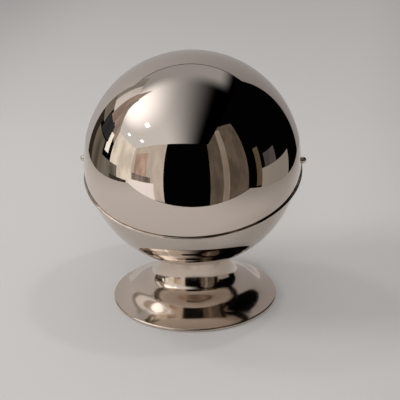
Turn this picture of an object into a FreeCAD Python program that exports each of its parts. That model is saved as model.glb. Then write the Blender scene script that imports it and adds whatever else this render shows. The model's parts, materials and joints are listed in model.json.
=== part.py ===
import FreeCAD, Part
import math
import os

from FreeCAD import Vector

# Roll-top globe bowl on an ogee foot, in millimetres.
# The origin is the centre of the foot's rest on the table, +Z is up, and the front is -Y.
# The lid turns back about the X axis through the globe's centre, outside the bowl.

# Globe
LID_RADIUS = 63.5          # outside of the lid
LID_SHEET = 0.4
BOWL_SHEET = 0.6
RUN_GAP = 0.7              # between the lid's inside and the bowl's outside
SLANT = 17.5               # degrees that the seam drops towards the front
LID_EDGE_DROP = 5.7        # from the pivot line down to the middle of the lid's rolled edge
BOWL_RIM_RISE = 6.0        # from the pivot line up to the middle of the bowl's rolled rim

# Rolled edges: sheet curled round a wire
LID_WIRE_RADIUS = 0.2
BOWL_WIRE_RADIUS = 0.3
FOOT_WIRE_RADIUS = 0.3
WIRE_PLAY = 0.12
CURL_SLIT = 0.15           # left between the end of the curl and the wall

# Ogee foot: a flat rim, a steeper flank, a ledge, and a hollow that turns up to the neck, all eased together
FOOT_RADIUS = 50.0
FOOT_HEIGHT = 25.0         # from the table to the underside of the bowl
FOOT_SHEET = 0.6
FOOT_FLAT = 0.1            # depth ground off the rim, so that it stands flat
FOOT_RIM_WIDTH = 5.7       # from the rolled edge in to the flank
FOOT_RIM_SLOPE = 17.5      # degrees
FOOT_FLANK_WIDTH = 8.0     # from the rim in to the ledge
FOOT_FLANK_SLOPE = 35.3
FOOT_LEDGE_SLOPE = 22.3
FOOT_NECK_RADIUS = 21.6
FOOT_NECK_SLOPE = 88.0
FLANK_MIDDLE = 0.46        # where the curve touches the flank, as a part of its width
LEDGE_MIDDLE = 0.37        # and the ledge, in from the flank
RIM_PULL = 0.35            # how far the curve is drawn to its corners, from 0 to 1
HOLLOW_PULL = 0.62

# Pivots
STUD_HEAD_RADIUS = 2.0
STUD_HEAD_SINK = 0.75      # from the head's seat to the middle of its ball
STUD_SHOULDER_RADIUS = 1.5
STUD_THREAD_RADIUS = 1.1
STUD_HEAD_GAP = 0.15       # between the head and the lid
SPACER_RADIUS = 3.0
SPACER_PLAY = 0.1
PIVOT_WASHER_RADIUS = 2.6
PIVOT_WASHER_THICKNESS = 0.5
PIVOT_NUT_FLATS = 4.5
PIVOT_NUT_HEIGHT = 1.8
PIVOT_NUT_CAP_RADIUS = 1.8

# Stop tab inside the lid
TAB_WIDTH = 7.0
TAB_SHEET = 0.6
TAB_LEG = 5.0
TAB_REACH = 2.6            # from the lid's inside towards the globe's centre
TAB_GAP = 0.15             # above the bowl's rim when the lid is shut

# Foot fastening
SCREW_RADIUS = 1.75
SCREW_HEAD_RADIUS = 3.5
SCREW_HEAD_HEIGHT = 2.2
SCREW_HEAD_ROUND = 0.8
SCREW_SLOT_WIDTH = 1.0
SCREW_SLOT_DEPTH = 1.1
SCREW_END = 1.5            # thread that stands out of the nut
SEAL_RADIUS = 5.0
SEAL_THICKNESS = 0.8
CLAMP_RADIUS = 10.0
CLAMP_THICKNESS = 1.5
FOOT_WASHER_RADIUS = 3.1
FOOT_WASHER_THICKNESS = 0.8
FOOT_NUT_FLATS = 6.0
FOOT_NUT_HEIGHT = 2.8
NUT_CHAMFER_ANGLE = 30.0

# Fits
RUNNING_PLAY = 0.08        # lid's hole on the stud's shoulder, in radius
HOLE_PLAY = 0.1            # screws and studs in plain holes, in radius
THREAD_PLAY = 0.03         # screws and studs in their nuts, in radius
SEAT_PLAY = 0.1            # between curved faces that are clamped together
WASHER_SPLIT = 0.4

# Worked out from the sizes above
LID_INNER = LID_RADIUS - LID_SHEET
BOWL_RADIUS = LID_INNER - RUN_GAP
BOWL_INNER = BOWL_RADIUS - BOWL_SHEET
CENTRE = Vector(0, 0, FOOT_HEIGHT + BOWL_RADIUS)
DISH_TOP = BOWL_RADIUS + SEAT_PLAY
DISH_UNDER = DISH_TOP + FOOT_SHEET
X_AXIS = Vector(1, 0, 0)
Z_AXIS = Vector(0, 0, 1)
LONG = 2 * LID_RADIUS


# Drawing helpers: a section lies in the XZ plane, with x as the radius from the Z axis.
def point(r, z):
    return Vector(r, 0, z)


def line(a, b):
    return Part.LineSegment(a, b).toShape()


def arc(place, start, end):
    """An arc through place(start) and place(end), with the angles in radians."""
    return Part.Arc(place(start), place((start + end) / 2), place(end)).toShape()


def on_ball(radius):
    """Points on a ball about the globe's centre, by their elevation."""
    return lambda angle: point(radius * math.cos(angle), radius * math.sin(angle))


def turned(edges, base=Vector(0, 0, 0), axis=Z_AXIS):
    wire = Part.Wire(Part.__sortEdges__(edges))
    return Part.Face(wire).revolve(base, axis, 360)


def outline(points):
    return [line(a, b) for a, b in zip(points, points[1:] + points[:1])]


def ball(radius):
    return Part.makeSphere(radius, CENTRE)


def rod_x(radius, start=-LONG, end=LONG):
    return Part.makeCylinder(radius, end - start, CENTRE + Vector(start, 0, 0), X_AXIS)


def rod_z(radius, bottom, top):
    return Part.makeCylinder(radius, top - bottom, Vector(0, 0, bottom), Z_AXIS)


def nut_blank(flats, height):
    """A hexagon nut from the origin up, before its hole, with the corners of its top rounded off."""
    corner = flats / math.sqrt(3)
    turns = [k * math.pi / 3 for k in range(6)]
    corners = [Vector(corner * math.cos(turn), corner * math.sin(turn), 0) for turn in turns]
    bar = Part.Face(Part.makePolygon(corners + corners[:1])).extrude(Vector(0, 0, height))
    drop = (corner - flats / 2) * math.tan(math.radians(NUT_CHAMFER_ANGLE))
    rounding = outline([point(0, 0), point(corner, 0), point(corner, height - drop),
                        point(flats / 2, height), point(0, height)])
    return bar.common(turned(rounding))


def lock_washer(radius, thickness, hole):
    """A split washer from the origin up, cut through on its +Y side."""
    washer = rod_z(radius, 0, thickness).cut(rod_z(hole, 0, thickness))
    return washer.cut(Part.makeBox(WASHER_SPLIT, radius, thickness, Vector(-WASHER_SPLIT / 2, 0, 0)))


def inwards(shape, distance):
    """Lay a shape drawn from the origin up along the pivot line, pointing in from this distance."""
    shape.rotate(Vector(0, 0, 0), Vector(0, 1, 0), -90)
    shape.translate(CENTRE + Vector(distance, 0, 0))
    return shape


def hung(shape, height):
    """Turn a shape drawn from the origin up to hang down from this height."""
    shape.rotate(Vector(0, 0, 0), X_AXIS, 180)
    shape.translate(Vector(0, 0, height))
    return shape


class Curl:
    """The section of a rolled edge: sheet curled round a wire, starting flush with the wall."""

    def __init__(self, centre, to_wall, onward, wire_radius, sheet):
        self.centre = centre
        self.to_wall = to_wall
        self.onward = onward
        self.bore = wire_radius + WIRE_PLAY
        self.outside = self.bore + sheet
        self.end = 2 * math.pi - math.acos((self.bore - CURL_SLIT) / self.outside)

    def at(self, radius):
        return lambda turn: (self.centre + self.to_wall * (radius * math.cos(turn))
                             + self.onward * (radius * math.sin(turn)))

    def edges(self):
        inner = self.at(self.bore)
        outer = self.at(self.outside)
        return [arc(inner, 0, self.end), line(inner(self.end), outer(self.end)), arc(outer, 0, self.end)]


def ball_curl(distance, height, outwards, onward_up, wire_radius, sheet):
    """A curl at the edge of a ball-shaped wall, whose middle is at this distance and height."""
    rise = math.asin(height / distance)
    radial = point(math.cos(rise), math.sin(rise))
    upward = point(-math.sin(rise), math.cos(rise))
    to_wall = radial * (-1 if outwards else 1)
    onward = upward * (1 if onward_up else -1)
    return Curl(radial * distance, to_wall, onward, wire_radius, sheet), rise


def slanted(shape):
    """Lean a shape drawn about its own axis to the globe's slant, at the globe's centre."""
    shape.rotate(Vector(0, 0, 0), X_AXIS, SLANT)
    shape.translate(CENTRE)
    return shape


def ring(section_centre, radius):
    return Part.makeTorus(section_centre.x, radius, Vector(0, 0, section_centre.z), Z_AXIS)


# Lid
LID_CURL_RADIUS = LID_WIRE_RADIUS + WIRE_PLAY + LID_SHEET


def make_lid():
    curl, rise = ball_curl(LID_INNER + LID_CURL_RADIUS, -LID_EDGE_DROP, True, False,
                           LID_WIRE_RADIUS, LID_SHEET)
    pole = math.pi / 2
    outside = on_ball(LID_RADIUS)
    inside = on_ball(LID_INNER)
    edges = [arc(outside, rise, pole), line(outside(pole), inside(pole)), arc(inside, rise, pole)]
    shell = slanted(turned(edges + curl.edges()))
    wire = slanted(ring(curl.centre, LID_WIRE_RADIUS))
    return shell.cut(rod_x(STUD_SHOULDER_RADIUS + RUNNING_PLAY)), wire


def make_stop_tab():
    low = BOWL_RIM_RISE + BOWL_WIRE_RADIUS + WIRE_PLAY + BOWL_SHEET + TAB_GAP
    reach_in = LID_INNER - SEAT_PLAY - TAB_REACH
    leg_in = LID_INNER - SEAT_PLAY - TAB_SHEET
    half = TAB_WIDTH / 2
    block = Part.makeBox(TAB_WIDTH, LID_INNER, TAB_LEG, Vector(-half, -LID_INNER, low))
    over_tongue = Part.makeBox(TAB_WIDTH, LID_INNER, TAB_LEG, Vector(-half, -LID_INNER, low + TAB_SHEET))
    tab = block.common(Part.makeSphere(LID_INNER - SEAT_PLAY))
    tab = tab.cut(Part.makeSphere(reach_in))
    tab = tab.cut(over_tongue.common(Part.makeSphere(leg_in)))
    return slanted(tab)


# Bowl
BOWL_CURL_RADIUS = BOWL_WIRE_RADIUS + WIRE_PLAY + BOWL_SHEET


def make_bowl():
    curl, rise = ball_curl(BOWL_RADIUS - BOWL_CURL_RADIUS, BOWL_RIM_RISE, False, True,
                           BOWL_WIRE_RADIUS, BOWL_SHEET)
    pole = -math.pi / 2
    outside = on_ball(BOWL_RADIUS)
    inside = on_ball(BOWL_INNER)
    edges = [arc(outside, pole, rise), line(outside(pole), inside(pole)), arc(inside, pole, rise)]
    shell = slanted(turned(edges + curl.edges()))
    wire = slanted(ring(curl.centre, BOWL_WIRE_RADIUS))
    shell = shell.cut(rod_x(STUD_THREAD_RADIUS + HOLE_PLAY))
    return shell.cut(rod_z(SCREW_RADIUS + HOLE_PLAY, 0, CENTRE.z)), wire


# Pivots, made for the right side and mirrored for the left
def make_pivot():
    seat = BOWL_RADIUS
    head = LID_RADIUS + STUD_HEAD_GAP
    washer_out = math.sqrt(BOWL_INNER ** 2 - PIVOT_WASHER_RADIUS ** 2) - SEAT_PLAY
    washer_in = washer_out - PIVOT_WASHER_THICKNESS
    nut_in = washer_in - PIVOT_NUT_HEIGHT
    head_middle = head + STUD_HEAD_SINK
    head_edge = math.sqrt(STUD_HEAD_RADIUS ** 2 - STUD_HEAD_SINK ** 2)
    head_start = math.atan2(head_edge, -STUD_HEAD_SINK)

    def on_head(angle):
        return point(head_middle + STUD_HEAD_RADIUS * math.cos(angle), STUD_HEAD_RADIUS * math.sin(angle))

    steps = [point(nut_in, 0), point(nut_in, STUD_THREAD_RADIUS), point(seat, STUD_THREAD_RADIUS),
             point(seat, STUD_SHOULDER_RADIUS), point(head, STUD_SHOULDER_RADIUS), point(head, head_edge)]
    edges = [line(a, b) for a, b in zip(steps, steps[1:])]
    edges += [arc(on_head, 0, head_start), line(on_head(0), steps[0])]
    stud = turned(edges, axis=X_AXIS)
    stud.translate(CENTRE)

    spacer = ball(LID_INNER - SPACER_PLAY).cut(ball(BOWL_RADIUS + SPACER_PLAY))
    spacer = spacer.common(rod_x(SPACER_RADIUS, 0).cut(rod_x(STUD_SHOULDER_RADIUS + HOLE_PLAY, 0)))

    washer = lock_washer(PIVOT_WASHER_RADIUS, PIVOT_WASHER_THICKNESS, STUD_THREAD_RADIUS + HOLE_PLAY)

    cap = Part.makeSphere(PIVOT_NUT_CAP_RADIUS, Vector(0, 0, PIVOT_NUT_HEIGHT))
    bore = rod_z(STUD_THREAD_RADIUS + THREAD_PLAY, -PIVOT_NUT_HEIGHT, PIVOT_NUT_HEIGHT + THREAD_PLAY)
    nut = nut_blank(PIVOT_NUT_FLATS, PIVOT_NUT_HEIGHT).fuse(cap).removeSplitter().cut(bore)
    return {"pivot_stud": stud, "pivot_spacer": spacer, "pivot_lock_washer": inwards(washer, washer_out),
            "pivot_cap_nut": inwards(nut, washer_in)}


# Foot
FOOT_CURL_RADIUS = FOOT_WIRE_RADIUS + WIRE_PLAY + FOOT_SHEET


def slope_directions(degrees):
    """The way outwards and down a slope, and the way out of its upper face."""
    angle = math.radians(degrees)
    return point(math.cos(angle), -math.sin(angle)), point(math.sin(angle), math.cos(angle))


def crossing(a, along_a, b, along_b):
    """Where two lines in the section meet."""
    across = along_a.x * along_b.z - along_a.z * along_b.x
    gap = b - a
    return a + along_a * ((gap.x * along_b.z - gap.z * along_b.x) / across)


def inward(place, way, width):
    """The point up a slope that lies nearer to the axis by this width."""
    return place - way * (width / way.x)


def bend(a, corner, b, pull_a=1.0, pull_b=1.0):
    """A curve round a corner. A full pull at one end lets the curve run out straight at the other."""
    curve = Part.BezierCurve()
    curve.setPoles([a, a + (corner - a) * pull_a, b + (corner - b) * pull_b, b])
    return curve.toShape()


def on_dish(radius, r):
    """The point at radius r on the dish that the bowl sits in."""
    return point(r, CENTRE.z - math.sqrt(radius ** 2 - r ** 2))


def dish_arc(radius, r_in, r_out):
    middle = on_dish(radius, (r_in + r_out) / 2)
    return Part.Arc(on_dish(radius, r_in), middle, on_dish(radius, r_out)).toShape()


def make_foot():
    rim_way, rim_up = slope_directions(FOOT_RIM_SLOPE)
    flank_way, flank_up = slope_directions(FOOT_FLANK_SLOPE)
    ledge_way, ledge_up = slope_directions(FOOT_LEDGE_SLOPE)
    neck_way, neck_up = slope_directions(FOOT_NECK_SLOPE)
    middle = point(FOOT_RADIUS - FOOT_CURL_RADIUS, FOOT_CURL_RADIUS - FOOT_FLAT)
    curl = Curl(middle, rim_up, rim_way, FOOT_WIRE_RADIUS, FOOT_SHEET)
    rim_over = curl.at(curl.outside)(0)
    rim_under = curl.at(curl.bore)(0)
    flank_foot = inward(rim_over, rim_way, FOOT_RIM_WIDTH)
    flank_top = inward(flank_foot, flank_way, FOOT_FLANK_WIDTH)

    def flare(rim, neck, depth):
        """The curve in from rim to neck, this deep under the upper face."""
        flank = flank_foot - flank_up * depth
        ledge = flank_top - ledge_up * depth
        low = crossing(rim, rim_way, flank, flank_way)
        high = crossing(flank, flank_way, ledge, ledge_way)
        hollow = crossing(ledge, ledge_way, neck, neck_way)
        on_flank = low + (high - low) * FLANK_MIDDLE
        on_ledge = high + (hollow - high) * LEDGE_MIDDLE
        return [bend(rim, low, on_flank, pull_b=RIM_PULL), bend(on_flank, high, on_ledge),
                bend(on_ledge, hollow, neck, pull_a=HOLLOW_PULL)]

    neck_inside = FOOT_NECK_RADIUS - FOOT_SHEET * neck_up.x
    hole = SCREW_RADIUS + HOLE_PLAY
    edges = [line(on_dish(DISH_UNDER, hole), on_dish(DISH_TOP, hole)),
             dish_arc(DISH_TOP, hole, FOOT_NECK_RADIUS),
             dish_arc(DISH_UNDER, hole, neck_inside)]
    edges += flare(rim_over, on_dish(DISH_TOP, FOOT_NECK_RADIUS), 0)
    edges += flare(rim_under, on_dish(DISH_UNDER, neck_inside), FOOT_SHEET)
    foot = turned(edges + curl.edges())
    below_table = rod_z(LONG, -LONG, 0)
    return foot.cut(below_table), ring(middle, FOOT_WIRE_RADIUS)


def make_foot_fastening():
    inside_bottom = CENTRE.z - BOWL_INNER
    seal_top = inside_bottom + SEAL_THICKNESS
    plate_ball = DISH_UNDER + SEAT_PLAY
    plate_low = CENTRE.z - plate_ball - CLAMP_THICKNESS
    washer_low = plate_low - FOOT_WASHER_THICKNESS
    nut_low = washer_low - FOOT_NUT_HEIGHT
    head_top = seal_top + SCREW_HEAD_HEIGHT
    hole = rod_z(SCREW_RADIUS + HOLE_PLAY, 0, CENTRE.z)

    head = rod_z(SCREW_HEAD_RADIUS, seal_top, head_top)
    rings = [edge for edge in head.Edges if edge.Closed]
    top_edge = [edge for edge in rings if abs(edge.CenterOfMass.z - head_top) < SEAT_PLAY]
    head = head.makeFillet(SCREW_HEAD_ROUND, top_edge)
    slot = Part.makeBox(LONG, SCREW_SLOT_WIDTH, SCREW_SLOT_DEPTH,
                        Vector(-LONG / 2, -SCREW_SLOT_WIDTH / 2, head_top - SCREW_SLOT_DEPTH))
    shank = rod_z(SCREW_RADIUS, nut_low - SCREW_END, seal_top)
    screw = head.cut(slot).fuse(shank).removeSplitter()

    seal = rod_z(SEAL_RADIUS, inside_bottom - SEAL_THICKNESS, seal_top)
    seal = seal.common(ball(BOWL_INNER - SEAT_PLAY)).cut(hole)

    plate = rod_z(CLAMP_RADIUS, plate_low, CENTRE.z).cut(ball(plate_ball)).cut(hole)

    washer = lock_washer(FOOT_WASHER_RADIUS, FOOT_WASHER_THICKNESS, SCREW_RADIUS + HOLE_PLAY)

    nut_hole = rod_z(SCREW_RADIUS + THREAD_PLAY, 0, FOOT_NUT_HEIGHT)
    nut = nut_blank(FOOT_NUT_FLATS, FOOT_NUT_HEIGHT).cut(nut_hole)
    return {"foot_screw": screw, "foot_seal_washer": seal, "foot_clamp_plate": plate,
            "foot_lock_washer": hung(washer, plate_low), "foot_nut": hung(nut, washer_low)}


def make_parts():
    parts = {}
    parts["lid_shell"], parts["lid_edge_wire"] = make_lid()
    parts["lid_stop_tab"] = make_stop_tab()
    parts["bowl"], parts["bowl_rim_wire"] = make_bowl()
    for name, shape in make_pivot().items():
        parts[name + "_right"] = shape
        parts[name + "_left"] = shape.mirror(Vector(0, 0, 0), X_AXIS)
    parts["foot"], parts["foot_rim_wire"] = make_foot()
    parts.update(make_foot_fastening())
    return parts


os.makedirs("parts", exist_ok=True)
for name, shape in make_parts().items():
    solids = shape.Solids
    shape = solids[0] if len(solids) == 1 else Part.makeCompound(solids)
    shape.exportStep("parts/" + name + ".step")
    box = shape.optimalBoundingBox(False)
    print("%-26s solids %d valid %s volume %9.2f  x %.2f..%.2f  y %.2f..%.2f  z %.2f..%.2f" % (
        name, len(solids), shape.isValid(), shape.Volume,
        box.XMin, box.XMax, box.YMin, box.YMax, box.ZMin, box.ZMax))
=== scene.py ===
# %% [markdown]
# # A roll-top globe bowl on an ogee foot
# The real thing is a mirror-polished ball of spun sheet metal. Its upper half is a lid that rolls back on
# two pivots, outside the lower half, and a wide, low foot carries it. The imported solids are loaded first,
# as a fixed frame, and everything below is built round them.

# %% Load the frame
import json
import math

import bmesh
import bpy
import numpy as np
from mathutils import Matrix, Vector


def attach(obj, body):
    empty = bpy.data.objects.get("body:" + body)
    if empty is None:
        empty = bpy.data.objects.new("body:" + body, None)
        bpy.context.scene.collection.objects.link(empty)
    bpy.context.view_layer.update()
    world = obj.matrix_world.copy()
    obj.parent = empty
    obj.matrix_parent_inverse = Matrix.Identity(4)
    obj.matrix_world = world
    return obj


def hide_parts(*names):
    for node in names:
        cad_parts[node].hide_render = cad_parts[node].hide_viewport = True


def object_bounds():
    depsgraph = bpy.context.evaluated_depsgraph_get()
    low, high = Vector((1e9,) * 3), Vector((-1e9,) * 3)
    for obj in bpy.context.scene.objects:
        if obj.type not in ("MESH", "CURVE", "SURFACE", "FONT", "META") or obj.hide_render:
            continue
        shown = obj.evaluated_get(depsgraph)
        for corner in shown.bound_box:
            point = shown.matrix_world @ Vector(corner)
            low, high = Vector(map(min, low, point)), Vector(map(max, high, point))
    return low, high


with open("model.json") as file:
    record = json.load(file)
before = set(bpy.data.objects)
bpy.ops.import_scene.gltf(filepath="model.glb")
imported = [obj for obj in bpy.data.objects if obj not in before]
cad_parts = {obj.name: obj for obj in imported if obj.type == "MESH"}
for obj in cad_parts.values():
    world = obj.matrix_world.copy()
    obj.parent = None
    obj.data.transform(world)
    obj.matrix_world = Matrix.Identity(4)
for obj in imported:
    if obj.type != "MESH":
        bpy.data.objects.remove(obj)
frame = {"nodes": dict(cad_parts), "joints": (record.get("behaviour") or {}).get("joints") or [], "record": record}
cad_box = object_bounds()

scene = bpy.context.scene
box_sides = [round(1000 * side, 1) for side in cad_box[1] - cad_box[0]]
print("nodes:", len(frame["nodes"]), "box:", box_sides, "mm")

# %% [markdown]
# ## Measuring the frame
# A size could be typed in again, but then it could go stale. Every size of the object is measured from the
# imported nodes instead. The globe's middle lies on the hinge line, and each rolled edge is found from the
# wire inside it.

# %% Measure the globe
globe = Vector(frame["joints"][0]["pos_m"])


def points_of(node):
    """A node's corners from the globe's middle, in metres."""
    return np.array([corner.co for corner in frame["nodes"][node].data.vertices], float) - np.array(globe)


def ring_of(node):
    """A wire ring's axis, its radius, and its height along that axis from the globe's middle."""
    points = points_of(node)
    middle = (points.min(0) + points.max(0)) / 2
    axis = np.linalg.svd(points - middle, full_matrices=False)[2][2]
    axis = axis * np.sign(axis[2])
    across = points - np.outer(points @ axis, axis)
    out = np.linalg.norm(across, axis=1)
    return Vector(axis), (out.min() + out.max()) / 2, float(middle @ axis)


slant_axis, lid_bead_radius, lid_bead_height = ring_of("lid_edge_wire")
_, bowl_bead_radius, bowl_bead_height = ring_of("bowl_rim_wire")
slant = math.atan2(-slant_axis.y, slant_axis.z)
print("seam slants by", round(math.degrees(slant), 2), "degrees")


# %% Measure the sheets and holes
def sheet_of(node, side):
    """The inner and outer radius of a ball of sheet, measured well away from the seam, on one side of it."""
    points = points_of(node)
    away = points @ np.array(slant_axis) * side > lid_bead_radius / 2
    reach = np.linalg.norm(points[away], axis=1)
    return reach.min(), reach.max()


def hole_in(node, axis):
    """The radius of the hole that an axis through the globe's middle makes in a node."""
    across = np.delete(points_of(node), axis, axis=1)
    return np.linalg.norm(across, axis=1).min()


lid_inside, lid_outside = sheet_of("lid_shell", 1)
bowl_inside, bowl_outside = sheet_of("bowl", -1)
lid_wall = round(1000 * (lid_outside - lid_inside), 2)
print("lid:", round(2000 * lid_outside, 2), "mm across, sheet", lid_wall, "mm")

# %% [markdown]
# ## The camera
# A long lens stands a little to the right of the front and looks down on the globe, as in the photograph.
# Its place was found by fitting the globe's outline, the seam and the foot's rim.

# %% Camera
CAMERA_PLACE = Vector((0.04529, -0.53345, 0.27759))
CAMERA_YAW = math.radians(4.4265)
CAMERA_DOWN = math.radians(21.983)
CAMERA_ROLL = math.radians(-1.009)
CAMERA_LENS = 87.18
SENSOR_WIDTH = 36.0

camera = bpy.data.objects.new("camera", bpy.data.cameras.new("camera"))
camera.data.lens = CAMERA_LENS
camera.data.sensor_width = SENSOR_WIDTH
look = Matrix.Rotation(CAMERA_YAW, 4, "Z") @ Matrix.Rotation(math.pi / 2 - CAMERA_DOWN, 4, "X")
camera.matrix_world = Matrix.Translation(CAMERA_PLACE) @ look @ Matrix.Rotation(CAMERA_ROLL, 4, "Z")
scene.collection.objects.link(camera)
scene.camera = camera
scene.view_settings.view_transform = "Standard"
print("camera to globe:", round((CAMERA_PLACE - globe).length, 3), "m")

# %% [markdown]
# ## Spinning the two shells
# Lid and bowl are spun: a disc of sheet turns in a lathe and is pressed over a former, and its edge is
# rolled round a wire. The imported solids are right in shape, but a mirror shows every facet of a mesh, most
# of all on the thin bead. So both shells are turned again here from the same section, in fine steps, and
# stand for their nodes.

# %% Section helpers
CURL_STEPS = 22
WALL_STEPS = 72
CURL_FIT = 500
WALL_START = 2 * math.pi - 0.2


def arc(middle, radius, start, end, steps):
    """Section points on a circle, with the angles in radians from the outward direction."""
    turns = np.linspace(start, end, steps + 1)
    return [(middle[0] + radius * math.cos(t), middle[1] + radius * math.sin(t)) for t in turns]


def free_end(node, bead, outside, wall):
    """How far the sheet is curled round its wire, read from the node's corners."""
    points = points_of(node)
    along = points @ np.array(slant_axis)
    out = np.linalg.norm(points - np.outer(along, np.array(slant_axis)), axis=1)
    from_wire = np.stack([out - bead[0], along - bead[1]], axis=1)
    on_curl = np.abs(np.linalg.norm(from_wire, axis=1) - outside) < outside / CURL_FIT
    turns = (np.arctan2(from_wire[on_curl, 1], from_wire[on_curl, 0]) - wall) % (2 * math.pi)
    return turns[turns < WALL_START].max()


def rolled_section(node, bead, radii, pole, outwards):
    """The section of a ball of sheet from its pole to a curl round the wire, and back inside."""
    inner, outer = radii
    distance = math.hypot(*bead)
    rise = math.atan2(bead[1], bead[0])
    if outwards:
        tight, loose = distance - outer, distance - inner
    else:
        tight, loose = inner - distance, outer - distance
    wall = rise + math.pi if outwards else rise
    end = wall + free_end(node, bead, loose, wall)
    bore = arc(bead, tight, wall, end, CURL_STEPS)
    back = arc(bead, loose, wall, end, CURL_STEPS)
    first, second = (bore, back) if outwards else (back, bore)
    down = arc((0, 0), outer, pole, rise, WALL_STEPS)
    up = arc((0, 0), inner, rise, pole, WALL_STEPS)
    return down[:-1] + first + second[::-1] + up[1:]


print("section helpers ready:", CURL_STEPS, "steps round a curl")

# %% Lathe and drill
TURN_STEPS = 192
HOLE_STEPS = 64
WELD = 1e-7
SHARP_EDGE = math.radians(40)


def turned(name, section, place):
    """A closed shell: a section turned about the Z axis, then put in its place."""
    made = bmesh.new()
    corners = [made.verts.new((max(r, 0.0), 0, h)) for r, h in section]
    edges = [made.edges.new(pair) for pair in zip(corners, corners[1:])]
    bmesh.ops.spin(made, geom=corners + edges, cent=(0, 0, 0), axis=(0, 0, 1), angle=2 * math.pi,
                   steps=TURN_STEPS, use_merge=True)
    bmesh.ops.remove_doubles(made, verts=made.verts, dist=WELD)
    bmesh.ops.recalc_face_normals(made, faces=made.faces)
    made.transform(place)
    mesh = bpy.data.meshes.new(name)
    made.to_mesh(mesh)
    made.free()
    piece = bpy.data.objects.new(name, mesh)
    scene.collection.objects.link(piece)
    return piece


def drilled(piece, axis, radius, reach):
    """Cut a round hole along an axis through the globe's middle."""
    made = bmesh.new()
    turn = Vector((0, 0, 1)).rotation_difference(axis).to_matrix().to_4x4()
    middle = globe + axis * (reach[0] + reach[1]) / 2
    bmesh.ops.create_cone(made, cap_ends=True, segments=HOLE_STEPS, radius1=radius, radius2=radius,
                          depth=reach[1] - reach[0], matrix=Matrix.Translation(middle) @ turn)
    drill = bpy.data.objects.new("drill", bpy.data.meshes.new("drill"))
    made.to_mesh(drill.data)
    made.free()
    scene.collection.objects.link(drill)
    cut = piece.modifiers.new("hole", "BOOLEAN")
    cut.operation = "DIFFERENCE"
    cut.solver = "EXACT"
    cut.object = drill
    done = piece.evaluated_get(bpy.context.evaluated_depsgraph_get())
    piece.data = bpy.data.meshes.new_from_object(done)
    piece.modifiers.clear()
    bpy.data.objects.remove(drill)


def smoothed(piece):
    """Shade a piece smoothly, apart from its sharp edges."""
    piece.data.shade_smooth()
    piece.data.set_sharp_from_angle(angle=SHARP_EDGE)
    return piece


print("lathe ready:", TURN_STEPS, "steps to a turn")

# %% Spin the lid
lean = Matrix.Translation(globe) @ Matrix.Rotation(slant, 4, "X")
ACROSS = Vector((1, 0, 0))
UP = Vector((0, 0, 1))

lid_section = rolled_section("lid_shell", (lid_bead_radius, lid_bead_height), (lid_inside, lid_outside),
                             math.pi / 2, True)
lid = turned("spun_lid", lid_section, lean)
drilled(lid, ACROSS, hole_in("lid_shell", 0), (-2 * lid_outside, 2 * lid_outside))
smoothed(lid)
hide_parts("lid_shell")
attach(lid, "lid")
print("lid:", len(lid.data.polygons), "faces from", len(lid_section), "section points")

# %% Spin the bowl
bowl_section = rolled_section("bowl", (bowl_bead_radius, bowl_bead_height), (bowl_inside, bowl_outside),
                              -math.pi / 2, False)
bowl = turned("spun_bowl", bowl_section, lean)
drilled(bowl, ACROSS, hole_in("bowl", 0), (-2 * bowl_outside, 2 * bowl_outside))
drilled(bowl, UP, hole_in("bowl", 2), (-2 * bowl_outside, 0))
smoothed(bowl)
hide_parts("bowl")
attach(bowl, "base")
print("bowl:", len(bowl.data.polygons), "faces from", len(bowl_section), "section points")

# %% [markdown]
# ## Spinning the foot
# The foot is spun too: a flat rim, a flank, a ledge and a hollow that turns up to the neck. Its section
# could be drawn again by hand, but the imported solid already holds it. A solid of revolution has a seam,
# where its turning starts, and the mesh edges along that seam are the section itself. They are followed
# round once, and a smooth curve is laid through them between the sharp corners.

# %% Read the section along the seam
PLACE_DIGITS = 7


def seam_of(node):
    """The closed section of a turned node, point by point, in the half plane of the X and Z axes."""
    mesh = frame["nodes"][node].data
    places = np.array([corner.co for corner in mesh.vertices], float).round(PLACE_DIGITS)
    on_seam = (np.abs(places[:, 1]) < WELD) & (places[:, 0] > 0)
    beside = {}
    for edge in mesh.edges:
        a, b = edge.vertices
        ends = [(places[end, 0], places[end, 2]) for end in (a, b)]
        if on_seam[a] and on_seam[b] and ends[0] != ends[1]:
            beside.setdefault(ends[0], set()).add(ends[1])
            beside.setdefault(ends[1], set()).add(ends[0])
    path = [min(beside, key=lambda place: (place[0], -place[1]))]
    path.append(max(beside[path[0]]))
    while path[-1] != path[0]:
        path.append(next(place for place in beside[path[-1]] if place != path[-2]))
    return np.array(path)


foot_seam = seam_of("foot")
foot_rim = round(1000 * foot_seam[:, 0].max(), 2)
print("foot section:", len(foot_seam) - 1, "points,", foot_rim, "mm to the rim")


# %% Lay a smooth curve through it
SECTION_STEP = 0.0007
CORNER = math.radians(20)
STEP_JUMP = 4


def breaks_of(path):
    """Where a closed section turns sharply, or where its steps change length at once."""
    ahead = np.diff(path, axis=0)
    behind = np.roll(ahead, 1, axis=0)
    turn = np.arctan2(behind[:, 0] * ahead[:, 1] - behind[:, 1] * ahead[:, 0], (behind * ahead).sum(1))
    ratio = np.linalg.norm(ahead, axis=1) / np.linalg.norm(behind, axis=1)
    return np.flatnonzero((np.abs(turn) > CORNER) | (ratio > STEP_JUMP) | (ratio < 1 / STEP_JUMP))


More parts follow.
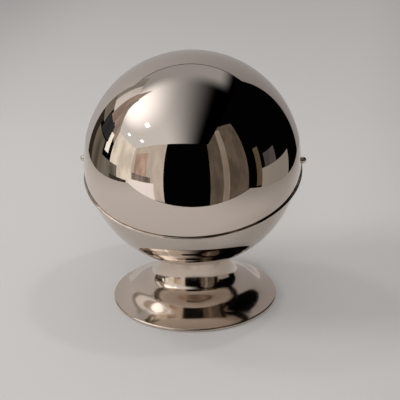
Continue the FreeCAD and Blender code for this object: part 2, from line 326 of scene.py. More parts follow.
def eased(run):
    """Points in even steps on a natural cubic spline through a run of points."""
    lengths = np.linalg.norm(np.diff(run, axis=0), axis=1)
    at = np.concatenate([[0], np.cumsum(lengths)])
    count = len(at)
    rows = np.eye(count)
    right = np.zeros((count, 2))
    for k in range(1, count - 1):
        rows[k, k - 1:k + 2] = lengths[k - 1], 2 * (lengths[k - 1] + lengths[k]), lengths[k]
        right[k] = 6 * ((run[k + 1] - run[k]) / lengths[k] - (run[k] - run[k - 1]) / lengths[k - 1])
    bends = np.linalg.solve(rows, right)
    places = np.linspace(0, at[-1], max(count, int(at[-1] / SECTION_STEP) + 1))
    k = np.clip(np.searchsorted(at, places, side="right") - 1, 0, count - 2)
    h = lengths[k][:, None]
    a = (at[k + 1] - places)[:, None]
    b = (places - at[k])[:, None]
    curve = (bends[k] * a ** 3 + bends[k + 1] * b ** 3) / (6 * h)
    return curve + (run[k] / h - bends[k] * h / 6) * a + (run[k + 1] / h - bends[k + 1] * h / 6) * b


foot_breaks = list(breaks_of(foot_seam)) + [len(foot_seam) - 1]
foot_section = [tuple(foot_seam[0])]
for start, end in zip(foot_breaks, foot_breaks[1:]):
    foot_section += [tuple(place) for place in eased(foot_seam[start:end + 1])[1:]]
print("foot section:", len(foot_breaks) - 1, "runs,", len(foot_section), "points after smoothing")

# %% Spin the foot
foot = smoothed(turned("spun_foot", foot_section, Matrix.Identity(4)))
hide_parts("foot")
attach(foot, "base")
foot_neck = float(foot_seam[np.argmax(foot_seam[:, 1]), 0])
foot_top = float(foot_seam[:, 1].max())
print("foot:", len(foot.data.polygons), "faces, neck", round(2000 * foot_neck, 1), "mm across")

# %% [markdown]
# ## Words for the shader nodes
# A material is a small graph. Building it node by node in code is slow to read, so a few short helpers name
# what the graph does: add a node, work out a number, ease from one value to another, or sample a noise.

# %% Node helpers
def add_node(tree, kind, inputs=None, **settings):
    """A shader node with its settings made and its inputs linked or set, by name or by number."""
    made = tree.nodes.new(kind)
    for name, value in settings.items():
        setattr(made, name, value)
    for name, value in (inputs or {}).items():
        if isinstance(value, bpy.types.NodeSocket):
            tree.links.new(value, made.inputs[name])
        else:
            made.inputs[name].default_value = value
    return made


def calc(tree, operation, *values):
    return add_node(tree, "ShaderNodeMath", dict(enumerate(values)), operation=operation).outputs[0]


def vector_calc(tree, operation, *values):
    made = add_node(tree, "ShaderNodeVectorMath", dict(enumerate(values)), operation=operation)
    return made.outputs["Value" if operation in ("DOT_PRODUCT", "LENGTH") else "Vector"]


def eased_value(tree, value, low, high, start=0.0, end=1.0):
    """A smooth change from start to end while a value goes from low to high."""
    inputs = {"Value": value, "From Min": low, "From Max": high, "To Min": start, "To Max": end}
    return add_node(tree, "ShaderNodeMapRange", inputs, interpolation_type="SMOOTHSTEP").outputs["Result"]


def weighed(tree, start, *parts):
    """A number with shares of other numbers added to it."""
    for part, weight in parts:
        start = calc(tree, "MULTIPLY_ADD", part, weight, start)
    return start


def noise(tree, vector, scale, detail=2.0, roughness=0.5, distortion=0.0):
    inputs = {"Vector": vector, "Scale": scale, "Detail": detail, "Roughness": roughness,
              "Distortion": distortion}
    return add_node(tree, "ShaderNodeTexNoise", inputs).outputs["Fac"]


def mixed_color(tree, factor, first, second):
    """A colour between two others. A mix node has sockets for each kind of data: these are the colour's."""
    made = add_node(tree, "ShaderNodeMix", {0: factor}, data_type="RGBA")
    for socket, color in ((made.inputs[6], first), (made.inputs[7], second)):
        if isinstance(color, bpy.types.NodeSocket):
            tree.links.new(color, socket)
        else:
            socket.default_value = (*color, 1.0)
    return made.outputs[2]


def object_place(tree):
    return add_node(tree, "ShaderNodeTexCoord").outputs["Object"]


print("node helpers ready")

# %% [markdown]
# ## Marks that several finishes share
# Spun and buffed metal is never quite even: the sheet waves a little, the tool leaves fine rings, cloths
# leave hairlines, hands leave smudges, and dirt and tarnish stay where a cloth can't reach. Those crevices are
# also painted darker, as painted shade where the parts meet. Each mark is one node group with its own inputs,
# made once and placed in every finish that needs it, so all the pieces have marks of one kind and scale.

# %% Group helpers
def effect(name, inputs, outputs):
    """An empty group with number sockets: the group, its inputs to read and its outputs to feed."""
    group = bpy.data.node_groups.new(name, "ShaderNodeTree")
    for label, value in inputs.items():
        socket = group.interface.new_socket(label, in_out="INPUT", socket_type="NodeSocketFloat")
        socket.default_value = value
    for label in outputs:
        group.interface.new_socket(label, in_out="OUTPUT", socket_type="NodeSocketFloat")
    return group, group.nodes.new("NodeGroupInput").outputs, group.nodes.new("NodeGroupOutput").inputs


def placed(tree, group, inputs):
    """The outputs of a group placed in a material, with its inputs linked or set."""
    return add_node(tree, "ShaderNodeGroup", inputs, node_tree=group).outputs


print("group helpers ready")

# %% Waves in the sheet
sheet_waves, given, made = effect("sheet_waves", {"Size": 0.03}, ["Height"])
size = calc(sheet_waves, "DIVIDE", 1.0, given["Size"])
sheet_waves.links.new(noise(sheet_waves, object_place(sheet_waves), size, detail=1.0), made["Height"])
print("made", sheet_waves.name)

# %% Rings from the spinning tool
spun_rings, given, made = effect("spun_rings", {"Along": 0.0, "Spacing": 0.0006}, ["Height", "Streaks"])
ring_count = calc(spun_rings, "DIVIDE", given["Along"], given["Spacing"])
ring_noise = {"W": ring_count, "Scale": 1.0, "Detail": 3.0, "Roughness": 0.7}
rings = add_node(spun_rings, "ShaderNodeTexNoise", ring_noise, noise_dimensions="1D").outputs["Fac"]
band_noise = {"W": ring_count, "Scale": 0.11, "Detail": 1.0}
bands = add_node(spun_rings, "ShaderNodeTexNoise", band_noise, noise_dimensions="1D").outputs["Fac"]
streaks = calc(spun_rings, "MULTIPLY", eased_value(spun_rings, rings, 0.5, 0.72),
               eased_value(spun_rings, bands, 0.4, 0.65))
spun_rings.links.new(rings, made["Height"])
spun_rings.links.new(streaks, made["Streaks"])
print("made", spun_rings.name)

# %% Smudges from hands
hand_smudges, given, made = effect("hand_smudges", {"Size": 0.03, "Cover": 0.5}, ["Mask"])
place = object_place(hand_smudges)
patches = noise(hand_smudges, place, calc(hand_smudges, "DIVIDE", 1.0, given["Size"]), 4.0, 0.55, 0.7)
low = calc(hand_smudges, "MULTIPLY_ADD", given["Cover"], -0.3, 0.68)
wiped = vector_calc(hand_smudges, "MULTIPLY", place, (240.0, 240.0, 900.0))
wipes = eased_value(hand_smudges, noise(hand_smudges, wiped, 1.0, 3.0), 0.35, 0.65, 0.45, 1.0)
smudged = calc(hand_smudges, "MULTIPLY", eased_value(hand_smudges, patches, low, 0.74), wipes)
hand_smudges.links.new(smudged, made["Mask"])
print("made", hand_smudges.name)

# %% Hairlines from cloths
hairlines, given, made = effect("hairlines", {"Spacing": 0.004}, ["Mask"])
place = object_place(hairlines)
lines = 0.0
for turn in (0.5, 1.7, 2.6):
    turns = (turn, 1.3 * turn, 2.1 * turn)
    laid = add_node(hairlines, "ShaderNodeMapping", {"Vector": place, "Rotation": turns})
    drawn = vector_calc(hairlines, "MULTIPLY", laid.outputs["Vector"], (1.0, 1.0, 0.05))
    field = noise(hairlines, drawn, calc(hairlines, "DIVIDE", 1.0, given["Spacing"]), 1.0)
    off = calc(hairlines, "ABSOLUTE", calc(hairlines, "SUBTRACT", field, 0.5))
    lines = calc(hairlines, "MAXIMUM", lines, eased_value(hairlines, off, 0.0, 0.02, 1.0, 0.0))
broken = eased_value(hairlines, noise(hairlines, place, 70.0, 3.0), 0.5, 0.62)
hairlines.links.new(calc(hairlines, "MULTIPLY", lines, broken), made["Mask"])
print("made", hairlines.name)

# %% Tarnish and painted shade where a cloth cannot reach
tarnish_and_shade, given, made = effect("tarnish_and_shade", {"Distance": 0.0, "Reach": 0.004}, ["Mask"])
# The mask darkens the metal near a line: partly tarnish, partly painted shade in the crevice.
near = eased_value(tarnish_and_shade, given["Distance"], 0.0, given["Reach"], 1.0, 0.0)
patchy = eased_value(tarnish_and_shade, noise(tarnish_and_shade, object_place(tarnish_and_shade), 160.0, 4.0, 0.6), 0.35, 0.68)
tarnish_and_shade.links.new(calc(tarnish_and_shade, "MULTIPLY", near, patchy), made["Mask"])
print("made", tarnish_and_shade.name)

# %% [markdown]
# ## Polished nickel
# Outside, the shells are buffed to a warm mirror. Inside, where nobody sees them, they keep the satin rings
# of the spinning. A second object could carry the inside, but the sheet is one piece, so one material tells
# the two faces apart by their distance from the globe's middle. Roughness carries most of the marks,
# because on a mirror they are seen as a slight blur and not as a colour.

# %% Nickel and its marks
NICKEL = (0.74, 0.647, 0.577)
SATIN_NICKEL = (0.67, 0.605, 0.545)
DULL_AND_SHADED_NICKEL = (0.36, 0.29, 0.23)
RING_SPACING = 0.0006
RING_DEPTH = 0.00001
SMUDGE_SIZE = 0.03
HAIRLINE_SPACING = 0.004
WAVE_SIZE = 0.035
WAVE_DEPTH = 0.00006


def new_finish(name):
    """A new material, its node tree, and the sockets of its shader."""
    material = bpy.data.materials.new(name)
    material.use_nodes = True
    return material, material.node_tree, material.node_tree.nodes["Principled BSDF"].inputs


def bumped(tree, height, depth, normal=None):
    """A normal that leans with a height, where depth is the rise of a full height, in metres."""
    inputs = {"Height": height, "Distance": depth}
    if normal is not None:
        inputs["Normal"] = normal
    return add_node(tree, "ShaderNodeBump", inputs).outputs["Normal"]


def nickel_marks(tree, sockets, along, dull, hidden, mirror, bright=NICKEL):
    """Feed a nickel shader: rings along a line, dull places darkened as tarnish and painted shade, a hidden satin
    face and a roughness.
    """
    rings = placed(tree, spun_rings, {"Along": along, "Spacing": RING_SPACING})
    smudges = placed(tree, hand_smudges, {"Size": SMUDGE_SIZE, "Cover": 0.5})["Mask"]
    lines = placed(tree, hairlines, {"Spacing": HAIRLINE_SPACING})["Mask"]
    rough = weighed(tree, mirror, (smudges, 0.05), (lines, 0.04), (rings["Streaks"], 0.02), (dull, 0.12),
                    (hidden, 0.16))
    tree.links.new(rough, sockets["Roughness"])
    satin = mixed_color(tree, hidden, bright, SATIN_NICKEL)
    # Where the dull mask lies, the colour is darkened: tarnish and painted shade.
    dulled = mixed_color(tree, calc(tree, "MULTIPLY", dull, 0.55), satin, DULL_AND_SHADED_NICKEL)
    tree.links.new(dulled, sockets["Base Color"])
    wavy = bumped(tree, placed(tree, sheet_waves, {"Size": WAVE_SIZE})["Height"], WAVE_DEPTH)
    fine = calc(tree, "MULTIPLY", rings["Height"], weighed(tree, 0.06, (hidden, 0.94)))
    tree.links.new(bumped(tree, fine, RING_DEPTH, wavy), sockets["Normal"])
    sockets["Metallic"].default_value = 1.0


print("nickel ready")

# %% Polished shells
# The bowl's outside is a darker nickel than the lid's: painted shade, so that its reflection of the floor under
# the globe looks shaded.
SHADED_NICKEL = (0.65, 0.575, 0.51)
SHELL_MIRROR = 0.02
LID_DULL_REACH = 0.0005
BOWL_DULL_REACH = 0.002


def shell_finish(name, radii, dull_at, dull_reach, bright=NICKEL):
    """Nickel for a ball of sheet, dull and darkened as tarnish and painted shade along a line round it, with the
    satin face inside.
    """
    material, tree, sockets = new_finish(name)
    out = vector_calc(tree, "SUBTRACT", object_place(tree), globe)
    along = vector_calc(tree, "DOT_PRODUCT", out, slant_axis)
    middle = (radii[0] + radii[1]) / 2
    soft = (radii[1] - radii[0]) / 6
    hidden = eased_value(tree, vector_calc(tree, "LENGTH", out), middle - soft, middle + soft, 1.0, 0.0)
    from_line = calc(tree, "ABSOLUTE", calc(tree, "SUBTRACT", along, dull_at))
    dull = placed(tree, tarnish_and_shade, {"Distance": from_line, "Reach": dull_reach})["Mask"]
    nickel_marks(tree, sockets, along, dull, hidden, SHELL_MIRROR, bright)
    return material


bead_size = math.hypot(lid_bead_radius, lid_bead_height) - lid_inside
# A thin line just above the lid's bead and a wider one just below it on the bowl are darkened: tarnish and painted
# shade in the crevices of the seam.
lid_finish = shell_finish("polished_lid", (lid_inside, lid_outside), lid_bead_height + bead_size,
                          LID_DULL_REACH)
# The bowl gets the darker nickel, as painted shade.
bowl_finish = shell_finish("polished_bowl", (bowl_inside, bowl_outside), lid_bead_height - bead_size,
                           BOWL_DULL_REACH, SHADED_NICKEL)
lid.data.materials.append(lid_finish)
bowl.data.materials.append(bowl_finish)
print("polished:", lid.name, bowl.name)

# %% [markdown]
# The foot has the same nickel, but it is handled and set down more, and its rings run round the upright
# axis. Its hidden face is the hollow underside, told from the top by which way the surface faces.

# %% Polished foot
FOOT_NICKEL = (0.725, 0.613, 0.522)
FOOT_MIRROR = 0.11
FOOT_DULL_REACH = 0.005

foot_finish, tree, sockets = new_finish("polished_foot")
place = object_place(tree)
sideways = vector_calc(tree, "MULTIPLY", place, (1.0, 1.0, 0.0))
height = add_node(tree, "ShaderNodeSeparateXYZ", {"Vector": place}).outputs["Z"]
along = calc(tree, "SUBTRACT", vector_calc(tree, "LENGTH", sideways), height)
outward = vector_calc(tree, "ADD", vector_calc(tree, "NORMALIZE", sideways), (0.0, 0.0, 1.0))
normal = add_node(tree, "ShaderNodeNewGeometry").outputs["Normal"]
facing = vector_calc(tree, "DOT_PRODUCT", normal, outward)
hidden = eased_value(tree, facing, -0.15, 0.05, 1.0, 0.0)
# Near the top of the foot, just below the bowl, the nickel is darkened: tarnish and painted shade where the bowl
# meets the foot.
below_bowl = calc(tree, "SUBTRACT", foot_top, height)
dull = placed(tree, tarnish_and_shade, {"Distance": below_bowl, "Reach": FOOT_DULL_REACH})["Mask"]
nickel_marks(tree, sockets, along, dull, hidden, FOOT_MIRROR, FOOT_NICKEL)
foot.data.materials.append(foot_finish)
print("polished:", foot.name)

# %% [markdown]
# ## Fittings
# The studs, cap nuts and the foot's screw are turned and plated, so they are bright, with fine tool rings.
# The washers, wires, tab, plate and nut are plain steel, and the spacers under the lid's pivots are thin
# pale fibre. The seal under the screw's head is black rubber. Small as they are, each gets a finish of its
# own.

# %% Bright metal
TOOL_SPACING = 0.00025
TOOL_DEPTH = 0.000003


def turned_finish(name, axis):
    """Plated metal with tool rings round an axis through the globe's middle."""
    material, tree, sockets = new_finish(name)
    out = vector_calc(tree, "SUBTRACT", object_place(tree), globe)
    along = vector_calc(tree, "DOT_PRODUCT", out, axis)
    radius = vector_calc(tree, "LENGTH", vector_calc(tree, "CROSS_PRODUCT", out, axis))
    across = calc(tree, "ADD", along, radius)
    rings = placed(tree, spun_rings, {"Along": across, "Spacing": TOOL_SPACING})
    smudges = placed(tree, hand_smudges, {"Size": 0.004, "Cover": 0.5})["Mask"]
    tree.links.new(weighed(tree, 0.05, (smudges, 0.08), (rings["Streaks"], 0.06)), sockets["Roughness"])
    worn = calc(tree, "MULTIPLY", smudges, 0.3)
    tree.links.new(mixed_color(tree, worn, NICKEL, DULL_AND_SHADED_NICKEL), sockets["Base Color"])
    tree.links.new(bumped(tree, rings["Height"], TOOL_DEPTH), sockets["Normal"])
    sockets["Metallic"].default_value = 1.0
    return material


pivot_finish = turned_finish("bright_pivots", ACROSS)
screw_finish = turned_finish("bright_screw", UP)
print("made", pivot_finish.name, screw_finish.name)

# %% Plain steel
STEEL = (0.58, 0.565, 0.545)
STAINED_STEEL = (0.33, 0.3, 0.27)
GRAIN_DEPTH = 0.00001

steel_finish, tree, sockets = new_finish("plain_steel")
place = object_place(tree)
grain = noise(tree, place, 2200.0, 4.0, 0.65)
stains = placed(tree, hand_smudges, {"Size": 0.006, "Cover": 0.8})["Mask"]
lines = placed(tree, hairlines, {"Spacing": 0.0012})["Mask"]
tree.links.new(weighed(tree, 0.24, (grain, 0.16), (stains, 0.15), (lines, 0.1)), sockets["Roughness"])
stained = calc(tree, "MULTIPLY", stains, 0.7)
tree.links.new(mixed_color(tree, stained, STEEL, STAINED_STEEL), sockets["Base Color"])
relief = weighed(tree, 0.0, (grain, 0.7), (lines, -0.3))
tree.links.new(bumped(tree, relief, GRAIN_DEPTH), sockets["Normal"])
sockets["Metallic"].default_value = 1.0
print("made", steel_finish.name)

# %% Pale fibre
BROWN_STRAND = (0.52, 0.48, 0.4)
PALE_STRAND = (0.84, 0.81, 0.73)
STRAND_COUNT = (900.0, 4200.0, 1300.0)
STRAND_DEPTH = 0.00003

fibre_finish, tree, sockets = new_finish("pale_fibre")
drawn_out = vector_calc(tree, "MULTIPLY", object_place(tree), STRAND_COUNT)
strands = noise(tree, drawn_out, 1.0, 4.0, 0.7, 0.4)
strand_color = mixed_color(tree, eased_value(tree, strands, 0.3, 0.7), BROWN_STRAND, PALE_STRAND)
tree.links.new(strand_color, sockets["Base Color"])
tree.links.new(weighed(tree, 0.5, (strands, 0.3)), sockets["Roughness"])
tree.links.new(bumped(tree, strands, STRAND_DEPTH), sockets["Normal"])
print("made", fibre_finish.name)

# %% Black rubber
RUBBER = (0.016, 0.016, 0.017)
RUBBER_BLOOM = (0.06, 0.058, 0.055)
PORE_DEPTH = 0.00002

rubber_finish, tree, sockets = new_finish("seal_rubber")
pores = noise(tree, object_place(tree), 3000.0, 3.0, 0.6)
bloom = placed(tree, hand_smudges, {"Size": 0.003, "Cover": 0.9})["Mask"]
bloomed = calc(tree, "MULTIPLY", bloom, 0.5)
tree.links.new(mixed_color(tree, bloomed, RUBBER, RUBBER_BLOOM), sockets["Base Color"])
tree.links.new(weighed(tree, 0.5, (pores, 0.2), (bloom, 0.2)), sockets["Roughness"])
tree.links.new(bumped(tree, pores, PORE_DEPTH), sockets["Normal"])
print("made", rubber_finish.name)

# %% Give each fitting its finish
SLOT_FINISH = {"bright_fittings": pivot_finish, "plain_steel": steel_finish, "fibre": fibre_finish,
               "seal_rubber": rubber_finish}
NODE_FINISH = {"lid_shell": lid_finish, "bowl": bowl_finish, "foot": foot_finish,
               "foot_screw": screw_finish}
for subpart in frame["record"]["subparts"]:
    name = subpart["node"]
    node = frame["nodes"][name]
    node.data.materials.clear()
    node.data.materials.append(NODE_FINISH.get(name) or SLOT_FINISH[subpart["material_slot"]])
print("finished", len(frame["nodes"]), "nodes")

# %% [markdown]
# ## The studio
# A mirror has no colour of its own: what it shows is the room. A photographed sky could light it, but then
# nothing could be placed by hand. So the room is built from plain cards that only reflections see, one for
# each thing: a sweep of pale paper behind the piece, a white ceiling with a pool of light, a cream wall
# with furniture on the left, and a dark room with a pale door on the right. Their places were worked out
# from the reflections in the lid.

# %% Stage helpers
def towards(azimuth, elevation=0.0):
    """The way from the globe, where azimuth 0 is the front and 90 the right, in degrees."""
    a = math.radians(azimuth)
    e = math.radians(elevation)
    return Vector((math.sin(a) * math.cos(e), -math.cos(a) * math.cos(e), math.sin(e)))


def stage_mesh(name, corners, faces):
    """A mesh that belongs to the stage and not to the piece."""
    mesh = bpy.data.meshes.new(name)
    mesh.from_pydata([tuple(corner) for corner in corners], [], faces)
    made = bpy.data.objects.new(name, mesh)
    scene.collection.objects.link(made)
    return made


def glow_finish(name):
    """An empty material with a light of its own, and the sockets of that light."""
    material = bpy.data.materials.new(name)
    material.use_nodes = True
    tree = material.node_tree
    tree.nodes.clear()
    glow = add_node(tree, "ShaderNodeEmission")
    add_node(tree, "ShaderNodeOutputMaterial", {"Surface": glow.outputs["Emission"]})
    return material, tree, glow.inputs


print("stage helpers ready")

# %% [markdown]
# A card glows with one plain colour, which is kept on its corners. Shelves, boxes and curtains are never
# that even, so a stretched noise makes a card busy, as far as the alpha of its colour says.

# %% Glow of the cards
WHITE = (1.0, 1.0, 1.0)
CLUTTER_STRETCH = (1.0, 1.0, 0.4)
CLUTTER_SCALE = 3.0
CLUTTER_LEVELS = (0.4, 1.6)

room_glow, tree, sockets = glow_finish("room_glow")
paint = add_node(tree, "ShaderNodeAttribute", attribute_name="glow").outputs
place = add_node(tree, "ShaderNodeNewGeometry").outputs["Position"]
stretched = vector_calc(tree, "MULTIPLY", place, CLUTTER_STRETCH)
shade = eased_value(tree, noise(tree, stretched, CLUTTER_SCALE), 0.3, 0.7, *CLUTTER_LEVELS)
clutter = mixed_color(tree, paint["Alpha"], WHITE, shade)
tree.links.new(vector_calc(tree, "MULTIPLY", paint["Color"], clutter), sockets["Color"])
print("made", room_glow.name)

# %% Card helpers
HIDDEN_FROM = ("camera", "diffuse", "shadow", "transmission", "volume_scatter")


def strip(name, lower, upper, colors, busy=0.0, finish=room_glow):
    """A row of flat cards between two lines of points, which fades from colour to colour along the row."""
    count = len(lower)
    faces = [(k, k + 1, count + k + 1, count + k) for k in range(count - 1)]
    made = stage_mesh(name, list(lower) + list(upper), faces)
    paint = made.data.color_attributes.new("glow", "FLOAT_COLOR", "POINT")
    for k, color in enumerate(list(colors) * 2):
        paint.data[k].color = (*color, busy)
    made.data.materials.append(finish)
    for rays in HIDDEN_FROM:
        setattr(made, "visible_" + rays, False)


def level_card(name, sides, ends, height, color, finish=room_glow):
    """A level card between its left and right sides and its front and back ends."""
    front, back = [[(x, y, height) for x in sides] for y in ends]
    strip(name, front, back, [color] * 2, finish=finish)


def wall(name, color, busy, places, heights):
    """Upright cards over a line of floor places, between two heights from the globe's middle."""
    low, high = [[(x, y, globe.z + height) for x, y in places] for height in heights]
    strip(name, low, high, [color] * len(places), busy)


def card(name, color, busy, distance, azimuths, elevations):
    """An upright card at a distance from the globe, between two azimuths and two elevations, in degrees."""
    places = [(globe + towards(azimuth) * distance).xy for azimuth in azimuths]
    heights = [distance * math.tan(math.radians(elevation)) for elevation in elevations]
    wall(name, color, busy, places, heights)


print("card helpers ready")

# %% Paper sweep behind
PAPER_LEFT = -0.425
PAPER_RIGHT = 0.3
PAPER_BACK = 0.34
PAPER_TOP = 0.5
# The sweep glows brighter on the left and darker on the right: painted light and shade, with the light from the
# left.
SWEEP_LIT_AND_SHADED = ((0.5, 0.485, 0.48), (0.27, 0.258, 0.258))

paper_sides = (PAPER_LEFT, PAPER_RIGHT)
low, high = [[(x, PAPER_BACK, height) for x in paper_sides] for height in (0.0, PAPER_TOP)]
strip("paper_back", low, high, SWEEP_LIT_AND_SHADED)
print("paper is", round(PAPER_RIGHT - PAPER_LEFT, 3), "m wide")

# %% White ceiling with a pool of light
ROOM_LEFT = -2.95
ROOM_FRONT = -1.73
ROOM_BACK = 0.27
HEADROOM = 1.2
CEILING = globe.z + HEADROOM
CEILING_SIDES = (ROOM_LEFT, 0.75)
CEILING_ENDS = (ROOM_FRONT, 1.1)
POOL = (-1.25, 0.1, CEILING)
POOL_REACH = (0.1, 1.1)
POOL_LEVELS = (1.75, 0.72)
FRONT_FADE = (-0.75, 0.45)
BACK_FADE = (0.4, 0.7)
BACK_LEVEL = 0.36
BACK_BLEND = (ROOM_BACK - 0.1, ROOM_BACK + 0.35)

ceiling_glow, tree, sockets = glow_finish("ceiling_glow")
place = add_node(tree, "ShaderNodeNewGeometry").outputs["Position"]
split = add_node(tree, "ShaderNodeSeparateXYZ", {"Vector": place}).outputs
from_pool = vector_calc(tree, "LENGTH", vector_calc(tree, "SUBTRACT", place, POOL))
pool_level = eased_value(tree, from_pool, *POOL_REACH, *POOL_LEVELS)
front_level = calc(tree, "MULTIPLY", pool_level, eased_value(tree, split["X"], *FRONT_FADE, 1.0, 0.0))
back_level = eased_value(tree, split["X"], *BACK_FADE, BACK_LEVEL, 0.0)
behind = eased_value(tree, split["Y"], *BACK_BLEND)
step = calc(tree, "SUBTRACT", back_level, front_level)
tree.links.new(calc(tree, "MULTIPLY_ADD", behind, step, front_level), sockets["Strength"])
level_card("white_ceiling", CEILING_SIDES, CEILING_ENDS, CEILING, WHITE, ceiling_glow)
print("ceiling at", round(CEILING, 3), "m")

# %% Lights in the ceiling
LIGHT_GLOW = (3.0, 3.0, 2.9)
LIGHT_SIZE = 0.08
LIGHT_DROP = 0.01
LIGHT_PLACES = ((-1.14, -0.67), (-2.32, -0.65), (-1.87, -1.29))

for x, y in LIGHT_PLACES:
    light_sides = (x - LIGHT_SIZE, x + LIGHT_SIZE)
    light_ends = (y - LIGHT_SIZE, y + LIGHT_SIZE)
    level_card("ceiling_light", light_sides, light_ends, CEILING - LIGHT_DROP, LIGHT_GLOW)
print("lights in the ceiling:", len(LIGHT_PLACES))

# %% Walls and furniture in front and on the left
CABINET_FACE = ROOM_FRONT + 0.03
CLUTTER_FACE = ROOM_FRONT + 0.05

left_corner = (ROOM_LEFT, ROOM_FRONT)
left_end = (ROOM_LEFT, -0.1)
beam_ends = [(-1.6, ROOM_BACK), (-0.7, ROOM_BACK)]
cabinet_ends = [(-2.56, CABINET_FACE), (-1.56, CABINET_FACE)]
clutter_ends = [(-2.75, CLUTTER_FACE), (-1.3, CLUTTER_FACE)]

wall("left_wall", (0.85, 0.82, 0.72), 0.3, [left_corner, left_end], (-0.75, HEADROOM))
wall("left_beam", (0.36, 0.29, 0.25), 0.4, [left_end, *beam_ends], (0.6, HEADROOM))
wall("front_wall", (0.6, 0.55, 0.49), 0.2, [left_corner, (-0.78, ROOM_FRONT)], (-0.9, HEADROOM))
wall("brown_cabinet", (0.53, 0.39, 0.32), 0.4, cabinet_ends, (-0.08, 0.85))
wall("front_clutter", (0.23, 0.2, 0.18), 0.7, clutter_ends, (-0.5, -0.08))
card("white_chest", (1.0, 0.96, 0.95), 0.1, 1.3, (-62, -34), (-25, -7))
card("left_table", (0.06, 0.05, 0.045), 0.4, 1.5, (-88, -65), (-14, -9.5))
card("left_boxes", (0.15, 0.14, 0.12), 0.7, 1.6, (-104, -77), (-14, -1))
card("left_window", (1.2, 1.2, 1.1), 0.0, 1.7, (-98.5, -92), (3, 17))
card("left_cupboard", (0.13, 0.115, 0.09), 0.7, 1.55, (-123, -101), (-13, 8))
card("left_shelf", (0.03, 0.033, 0.036), 0.5, 1.5, (-116, -97), (9, 21))
card("left_gap", (0.03, 0.025, 0.02), 0.3, 1.15, (-137, -121), (-13, 12))
card("left_screen", (0.19, 0.17, 0.14), 0.4, 1.15, (-137, -117), (12, 23))
card("grey_curtain", (0.3, 0.285, 0.255), 0.3, 1.15, (-137, -125), (23, 54))
card("white_curtain", (0.68, 0.66, 0.64), 0.2, 1.15, (-125, -113.5), (23, 54))
card("pink_curtain", (0.29, 0.22, 0.19), 0.3, 1.15, (-113.5, -102), (21, 54))
print("left of the room placed")

# %% Dark room on the right
chest_ends = [(0.42, -0.12), (0.42, 0.19)]

card("tan_wall", (0.11, 0.09, 0.07), 0.4, 2.1, (22, 62), (-28, 45))
card("pale_door", (0.27, 0.23, 0.19), 0.3, 1.8, (35, 41.5), (-28, 44))
card("right_post", (0.125, 0.095, 0.06), 0.3, 1.2, (71, 77), (-16, 16))
card("right_shelf", (0.1, 0.09, 0.092), 0.5, 1.6, (82, 98), (-3, 8))
wall("right_chest", (0.275, 0.255, 0.23), 0.2, chest_ends, (-0.17, -0.012))
print("right of the room placed")

# %% [markdown]
# The floor is the paper itself. Seen straight, it runs on for ever and fades into the background. Seen in
# the metal, it ends at its edges, and past them is the dark room. One plane with one material does both:
# the path of the ray says which of the two is asking.

# %% Tone of the paper
PAPER = (0.6, 0.585, 0.575)
LEFT_FADE = (-0.42, -0.18)
LEFT_LEVEL = 0.8
RIGHT_FADE = (0.06, 0.3)
RIGHT_LEVEL = 0.62
RIGHT_SKEW = -0.12

paper_finish, tree, sockets = new_finish("paper")
place = add_node(tree, "ShaderNodeNewGeometry").outputs["Position"]
split = add_node(tree, "ShaderNodeSeparateXYZ", {"Vector": place}).outputs
x, y = split["X"], split["Y"]
# The paper's colour darkens towards the left and the right: painted shade, where the light falls off.
lit_left = eased_value(tree, x, *LEFT_FADE, LEFT_LEVEL, 1.0)
lit_right = eased_value(tree, weighed(tree, x, (y, RIGHT_SKEW)), *RIGHT_FADE, 1.0, RIGHT_LEVEL)
shaded_paper_color = mixed_color(tree, calc(tree, "MULTIPLY", lit_left, lit_right), (0.0, 0.0, 0.0), PAPER)
tree.links.new(shaded_paper_color, sockets["Base Color"])
sockets["Roughness"].default_value = 0.8
sockets["Specular IOR Level"].default_value = 0.1
print("made", paper_finish.name)

# %% Edges of the paper
PAPER_FRONT = -0.207
PAPER_SKEW = 0.1
FAR_TONE = (0.4, 0.385, 0.375)
FAR_FADE = (1.0, 2.6)

skewed = weighed(tree, y, (x, -PAPER_SKEW))
outside = 0.0
for value, operation, edge in ((x, "LESS_THAN", PAPER_LEFT), (x, "GREATER_THAN", PAPER_RIGHT),
                               (skewed, "LESS_THAN", PAPER_FRONT), (y, "GREATER_THAN", PAPER_BACK)):
    outside = calc(tree, "MAXIMUM", outside, calc(tree, operation, value, edge))
path = add_node(tree, "ShaderNodeLightPath").outputs
cut_off = calc(tree, "MULTIPLY", path["Is Glossy Ray"], outside)
far_off = eased_value(tree, vector_calc(tree, "LENGTH", place), *FAR_FADE)
near_paper = tree.nodes["Principled BSDF"].outputs["BSDF"]
far_paper = add_node(tree, "ShaderNodeEmission", {"Color": (*FAR_TONE, 1.0)}).outputs["Emission"]
paper = add_node(tree, "ShaderNodeMixShader", {0: far_off, 1: near_paper, 2: far_paper}).outputs["Shader"]
clear = add_node(tree, "ShaderNodeBsdfTransparent").outputs["BSDF"]
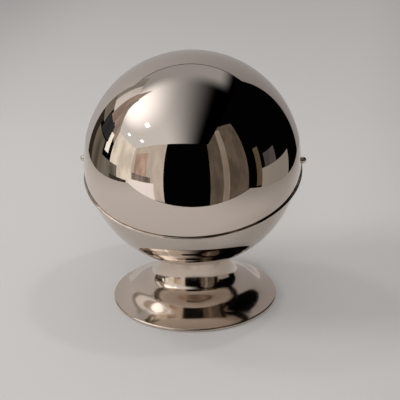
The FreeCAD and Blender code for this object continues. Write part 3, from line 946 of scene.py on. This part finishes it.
shown = add_node(tree, "ShaderNodeMixShader", {0: cut_off, 1: paper, 2: clear}).outputs["Shader"]
tree.links.new(shown, tree.nodes["Material Output"].inputs["Surface"])
print("paper ends", PAPER_FRONT, "m in front and", PAPER_BACK, "m behind")

# %% Floor and world
FLOOR_REACH = 8
AMBIENT = (0.58, 0.567, 0.559)
DARK = (0.001, 0.001, 0.001)

floor_corners = [(x * FLOOR_REACH, y * FLOOR_REACH, 0) for x, y in ((-1, -1), (1, -1), (1, 1), (-1, 1))]
floor = stage_mesh("floor", floor_corners, [(0, 1, 2, 3)])
floor.data.materials.append(paper_finish)

world = bpy.data.worlds.new("studio")
scene.world = world
world.use_nodes = True
tree = world.node_tree
tree.nodes.clear()
path = add_node(tree, "ShaderNodeLightPath").outputs
seen = mixed_color(tree, path["Is Camera Ray"], AMBIENT, FAR_TONE)
seen = mixed_color(tree, path["Is Glossy Ray"], seen, DARK)
background = add_node(tree, "ShaderNodeBackground", {"Color": seen})
add_node(tree, "ShaderNodeOutputWorld", {"Surface": background.outputs["Background"]})
print("floor and world ready")

# %% [markdown]
# The lamps light the paper and the plain pieces. They are round, so that a shadow ends softly, and
# reflections don't see them, because the cards stand for them there. A large lamp, far off in front, fills
# what the others leave.

# %% Lamps
def lamp(name, azimuth, elevation, size, energy, distance=1.3):
    """A round soft lamp at a distance from the globe, turned to face it."""
    made = bpy.data.objects.new(name, bpy.data.lights.new(name, "AREA"))
    made.data.shape = "DISK"
    made.data.size = size
    made.data.energy = energy
    way = towards(azimuth, elevation)
    made.location = globe + way * distance
    made.rotation_euler = way.to_track_quat("Z", "Y").to_euler()
    made.visible_glossy = False
    scene.collection.objects.link(made)


lamp("key_lamp", azimuth=-76, elevation=38, size=0.5, energy=4.6)
lamp("front_lamp", azimuth=5, elevation=33, size=1.4, energy=14.0, distance=3.0)
lamp("left_lamp", azimuth=-112, elevation=58, size=0.2, energy=1.5)
lamp("overhead_lamp", azimuth=95, elevation=75.5, size=0.035, energy=0.25, distance=0.5)
